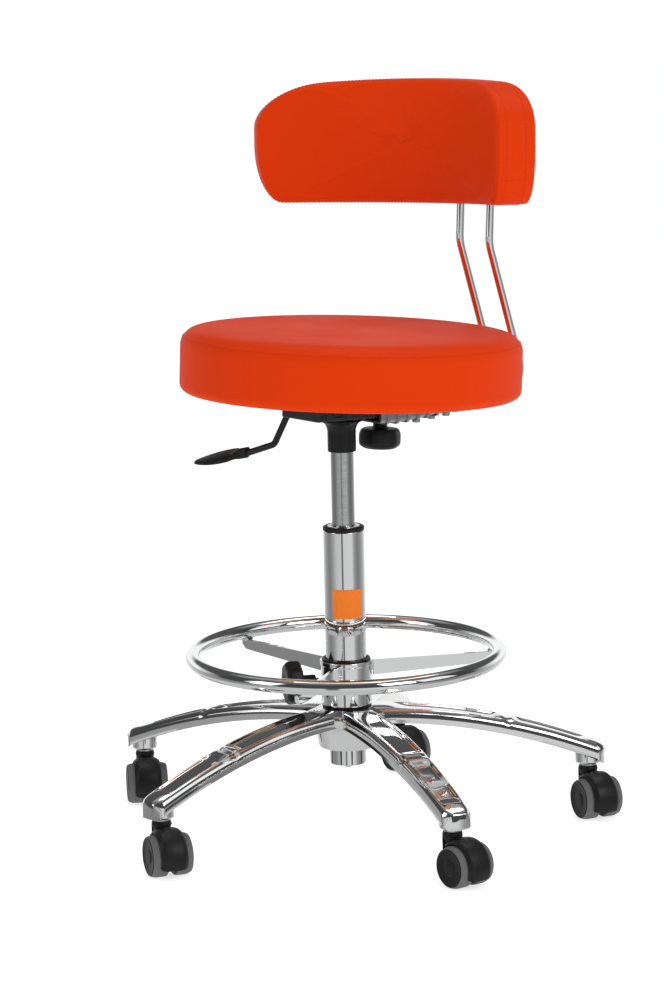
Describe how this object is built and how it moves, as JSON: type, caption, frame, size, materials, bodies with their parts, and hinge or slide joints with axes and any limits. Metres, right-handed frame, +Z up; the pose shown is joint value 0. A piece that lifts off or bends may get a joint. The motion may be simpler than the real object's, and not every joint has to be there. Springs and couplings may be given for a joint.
{
  "type": "drafting chair",
  "caption": "Drafting chair with a round padded seat, low curved backrest on bent rods, gas lift, foot ring and a five-arm base on twin casters.",
  "frame": {"origin": "centre of the bounding box, on the floor", "axes": "+Z up, +Y to the back of the chair, -X to the sitter's right"},
  "size_m": [0.6402, 0.606, 0.8966],
  "materials": {
    "vinyl_orange": "smooth upholstery vinyl with a slight sheen",
    "aluminium_polished": "polished casting",
    "chrome": "bright chrome plate",
    "steel_brushed": "ground steel",
    "plastic_black": "satin moulded plastic",
    "steel_dark": "dark grey paint",
    "casting_grey": "as-cast grey",
    "tread_grey": "soft grey tread on a black wheel",
    "plywood": "plain ply",
    "label_orange": "printed label"
  },
  "bodies": {
    "base": {"base_star": "aluminium_polished", "column_tube": "chrome", "column_cap": "plastic_black", "column_guide": "plastic_black", "column_label": "label_orange", "thrust_bearing": "steel_brushed"},
    "foot_ring_slider": {"foot_ring_bush": "plastic_black"},
    "foot_ring": {"foot_ring_collar": "chrome", "foot_ring_tube": "chrome", "foot_ring_spoke_1": "chrome", "foot_ring_spoke_2": "chrome", "foot_ring_spoke_3": "chrome"},
    "foot_ring_clamp": {"foot_ring_knob": "plastic_black"},
    "gas_piston": {"gas_piston_rod": "steel_brushed", "gas_clip": "steel_dark"},
    "seat": {"gas_cylinder": "steel_brushed", "taper_sleeve": "plastic_black", "mechanism_housing": "casting_grey", "seat_plate": "steel_dark", "seat_board": "plywood", "seat_cushion": "vinyl_orange", "back_bracket": "casting_grey", "lever_pin": "steel_brushed"},
    "lever": {"lever_rod": "steel_dark", "lever_paddle": "plastic_black"},
    "release_button": {"release_button": "steel_dark"},
    "backrest": {"back_rod_left": "chrome", "back_rod_right": "chrome", "backrest_pad": "vinyl_orange", "backrest_shell": "vinyl_orange"},
    "back_clamp": {"back_knob": "plastic_black"},
    "caster_1": {"caster_1_stem": "steel_brushed", "caster_1_hood": "plastic_black", "caster_1_axle": "steel_brushed"},
    "caster_1_left": {"caster_1_wheel_left": "tread_grey"},
    "caster_1_right": {"caster_1_wheel_right": "tread_grey"},
    "caster_2": {"caster_2_stem": "steel_brushed", "caster_2_hood": "plastic_black", "caster_2_axle": "steel_brushed"},
    "caster_2_left": {"caster_2_wheel_left": "tread_grey"},
    "caster_2_right": {"caster_2_wheel_right": "tread_grey"},
    "caster_3": {"caster_3_stem": "steel_brushed", "caster_3_hood": "plastic_black", "caster_3_axle": "steel_brushed"},
    "caster_3_left": {"caster_3_wheel_left": "tread_grey"},
    "caster_3_right": {"caster_3_wheel_right": "tread_grey"},
    "caster_4": {"caster_4_stem": "steel_brushed", "caster_4_hood": "plastic_black", "caster_4_axle": "steel_brushed"},
    "caster_4_left": {"caster_4_wheel_left": "tread_grey"},
    "caster_4_right": {"caster_4_wheel_right": "tread_grey"},
    "caster_5": {"caster_5_stem": "steel_brushed", "caster_5_hood": "plastic_black", "caster_5_axle": "steel_brushed"},
    "caster_5_left": {"caster_5_wheel_left": "tread_grey"},
    "caster_5_right": {"caster_5_wheel_right": "tread_grey"}
  },
  "joints": [
    {"name": "caster_1_swivel", "type": "hinge", "parent": "base", "child": "caster_1", "pos_m": [0.15142, 0.2752, 0.06], "axis": [0, 0, 1], "continuous": true},
    {"name": "caster_1_roll_left", "type": "hinge", "parent": "caster_1", "child": "caster_1_left", "pos_m": [0.17257, 0.26914, 0.02484], "axis": [0.2756, 0.9613, 0], "continuous": true},
    {"name": "caster_1_roll_right", "type": "hinge", "parent": "caster_1", "child": "caster_1_right", "pos_m": [0.17257, 0.26914, 0.02484], "axis": [0.2756, 0.9613, 0], "continuous": true},
    {"name": "caster_2_swivel", "type": "hinge", "parent": "base", "child": "caster_2", "pos_m": [-0.19639, 0.26488, 0.06], "axis": [0, 0, 1], "continuous": true},
    {"name": "caster_2_roll_left", "type": "hinge", "parent": "caster_2", "child": "caster_2_left", "pos_m": [-0.17473, 0.26106, 0.02484], "axis": [0.1736, 0.9848, 0], "continuous": true},
    {"name": "caster_2_roll_right", "type": "hinge", "parent": "caster_2", "child": "caster_2_right", "pos_m": [-0.17473, 0.26106, 0.02484], "axis": [0.1736, 0.9848, 0], "continuous": true},
    {"name": "caster_3_swivel", "type": "hinge", "parent": "base", "child": "caster_3", "pos_m": [-0.29406, -0.0691, 0.06], "axis": [0, 0, 1], "continuous": true},
    {"name": "caster_3_roll_left", "type": "hinge", "parent": "caster_3", "child": "caster_3_left", "pos_m": [-0.27561, -0.08109, 0.02484], "axis": [0.5446, 0.8387, 0], "continuous": true},
    {"name": "caster_3_roll_right", "type": "hinge", "parent": "caster_3", "child": "caster_3_right", "pos_m": [-0.27561, -0.08109, 0.02484], "axis": [0.5446, 0.8387, 0], "continuous": true},
    {"name": "caster_4_swivel", "type": "hinge", "parent": "base", "child": "caster_4", "pos_m": [-0.0066, -0.2652, 0.06], "axis": [0, 0, 1], "continuous": true},
    {"name": "caster_4_roll_left", "type": "hinge", "parent": "caster_4", "child": "caster_4_left", "pos_m": [0.01407, -0.27272, 0.02484], "axis": [0.342, 0.9397, 0], "continuous": true},
    {"name": "caster_4_roll_right", "type": "hinge", "parent": "caster_4", "child": "caster_4_right", "pos_m": [0.01407, -0.27272, 0.02484], "axis": [0.342, 0.9397, 0], "continuous": true},
    {"name": "caster_5_swivel", "type": "hinge", "parent": "base", "child": "caster_5", "pos_m": [0.26872, -0.0524, 0.06], "axis": [0, 0, 1], "continuous": true},
    {"name": "caster_5_roll_left", "type": "hinge", "parent": "caster_5", "child": "caster_5_left", "pos_m": [0.29071, -0.05317, 0.02484], "axis": [0.0349, 0.9994, 0], "continuous": true},
    {"name": "caster_5_roll_right", "type": "hinge", "parent": "caster_5", "child": "caster_5_right", "pos_m": [0.29071, -0.05317, 0.02484], "axis": [0.0349, 0.9994, 0], "continuous": true},
    {"name": "foot_ring_lift", "type": "slide", "parent": "base", "child": "foot_ring_slider", "axis": [0, 0, 1], "range_m": [0, 0.12]},
    {"name": "foot_ring_turn", "type": "hinge", "parent": "foot_ring_slider", "child": "foot_ring", "pos_m": [-0.01538, 0.03068, 0.18], "axis": [0, 0, 1], "continuous": true},
    {"name": "foot_ring_clamp_turn", "type": "hinge", "parent": "foot_ring", "child": "foot_ring_clamp", "pos_m": [-0.04355, -0.0223, 0.1815], "axis": [-0.4695, -0.8829, 0], "range_deg": [0, 720]},
    {"name": "seat_swivel", "type": "hinge", "parent": "base", "child": "gas_piston", "pos_m": [-0.01538, 0.03068, 0.3], "axis": [0, 0, 1], "continuous": true},
    {"name": "seat_lift", "type": "slide", "parent": "gas_piston", "child": "seat", "axis": [0, 0, 1], "range_m": [-0.082, 0.11]},
    {"name": "lever_lift", "type": "hinge", "parent": "seat", "child": "lever", "pos_m": [-0.03794, 0.02207, 0.51317], "axis": [-0.342, 0.9382, -0.0525], "range_deg": [0, 7], "stiffness_Nm_per_rad": 1.5, "springref_deg": -5.73},
    {"name": "release_button_press", "type": "slide", "parent": "seat", "child": "release_button", "axis": [0, 0, -1], "range_m": [0, 0.004]},
    {"name": "backrest_depth", "type": "slide", "parent": "seat", "child": "backrest", "axis": [0, 0.9984, -0.0558], "range_m": [-0.02, 0.03]},
    {"name": "back_clamp_turn", "type": "hinge", "parent": "seat", "child": "back_clamp", "pos_m": [-0.01538, 0.09078, 0.46656], "axis": [0, 0.0558, 0.9984], "range_deg": [-720, 0]}
  ],
  "couplings": [
    {"joint": "release_button_press", "follows": "lever_lift", "m_per_rad": 0.027}
  ]
}
